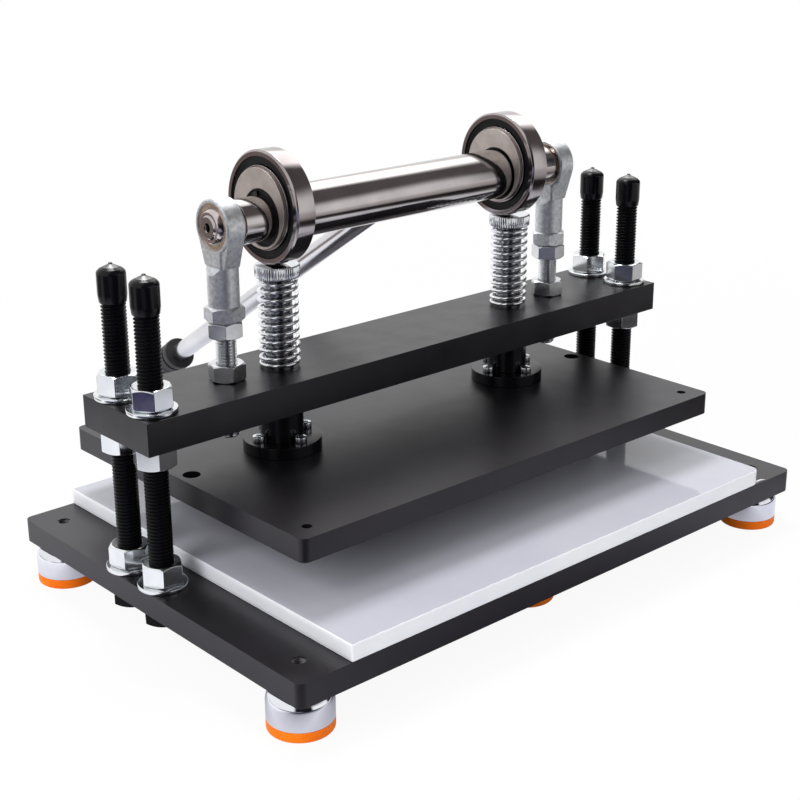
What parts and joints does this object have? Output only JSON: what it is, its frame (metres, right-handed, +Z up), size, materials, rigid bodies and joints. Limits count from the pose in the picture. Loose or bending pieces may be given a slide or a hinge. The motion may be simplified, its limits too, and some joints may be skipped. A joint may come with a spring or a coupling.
{
  "type": "manual die cutting press",
  "caption": "Bench press for cutting dies: a lever turns a shaft whose eccentric rollers push a sprung plate down onto a cutting board.",
  "frame": {"origin": "on the bench, below the middle of the object's box with the lever at rest", "axes": "+X along the shaft, +Z up, the open front at -Y and the lever at +Y"},
  "size_m": [0.4042, 0.487, 0.2594],
  "materials": {
    "black_anodised": "satin black anodised",
    "white_board": "white polyethylene with a rough sawn edge",
    "cup_metal": "bright turned metal",
    "orange_rubber": "matt orange",
    "zinc_steel": "bluish zinc plate",
    "black_steel": "black oxide",
    "cap_plastic": "glossy black vinyl",
    "bronze": "bearing bronze",
    "bright_steel": "polished",
    "ground_steel": "ground and polished",
    "black_rubber": "moulded"
  },
  "bodies": {
    "base": {"base_plate": "black_anodised", "cutting_board": "white_board", "foot_cups": "cup_metal", "foot_rubbers": "orange_rubber", "foot_screws": "zinc_steel", "post_bolts": "black_steel", "base_washers": "zinc_steel", "post_base_nuts": "zinc_steel", "beam_lower_nuts": "zinc_steel", "crossbeam": "black_anodised", "beam_washers": "zinc_steel", "beam_upper_nuts": "zinc_steel", "post_caps": "cap_plastic", "guide_bush_left": "black_steel", "guide_bush_right": "black_steel", "rod_end_left": "zinc_steel", "rod_end_right": "zinc_steel", "rod_end_liner_left": "bronze", "rod_end_liner_right": "bronze", "rod_end_studs": "zinc_steel", "stud_jam_nuts": "zinc_steel", "stud_upper_nuts": "zinc_steel", "stud_lower_nuts": "zinc_steel", "return_spring_left": "bright_steel", "return_spring_right": "bright_steel"},
    "press": {"press_plate": "black_anodised", "guide_pin_left": "bright_steel", "guide_pin_right": "bright_steel", "pin_hub_left": "black_steel", "pin_hub_right": "black_steel", "flange_screws": "zinc_steel", "pin_collar_left": "bright_steel", "pin_collar_right": "bright_steel"},
    "lever": {"cam_shaft": "ground_steel", "eccentric_disc_left": "ground_steel", "eccentric_disc_right": "ground_steel", "disc_key_left": "black_steel", "disc_key_right": "black_steel", "inner_ring_left": "bright_steel", "inner_ring_right": "bright_steel", "rod_end_ball_left": "bright_steel", "rod_end_ball_right": "bright_steel", "handle_rod": "bright_steel", "handle_grip": "black_rubber"},
    "roller_left": {"roller_ring_left": "bright_steel", "roller_seals_left": "black_rubber", "roller_balls_left": "bright_steel"},
    "roller_right": {"roller_ring_right": "bright_steel", "roller_seals_right": "black_rubber", "roller_balls_right": "bright_steel"}
  },
  "joints": [
    {"name": "lever_turn", "type": "hinge", "parent": "base", "child": "lever", "pos_m": [0, -0.09402, 0.2228], "axis": [1, 0, 0], "range_deg": [0, 202]},
    {"name": "press_slide", "type": "slide", "parent": "base", "child": "press", "axis": [0, 0, -1], "range_m": [0, 0.011], "stiffness_N_per_m": 4700, "springref_m": -0.012, "deforming": ["return_spring_left", "return_spring_right"]},
    {"name": "roller_left_spin", "type": "hinge", "parent": "lever", "child": "roller_left", "pos_m": [-0.0933, -0.09208, 0.22762], "axis": [1, 0, 0], "continuous": true},
    {"name": "roller_right_spin", "type": "hinge", "parent": "lever", "child": "roller_right", "pos_m": [0.08775, -0.09208, 0.22762], "axis": [1, 0, 0], "continuous": true}
  ],
  "couplings": [
    {"joint": "press_slide", "follows": "lever_turn", "m_per_rad": 0.003117}
  ]
}
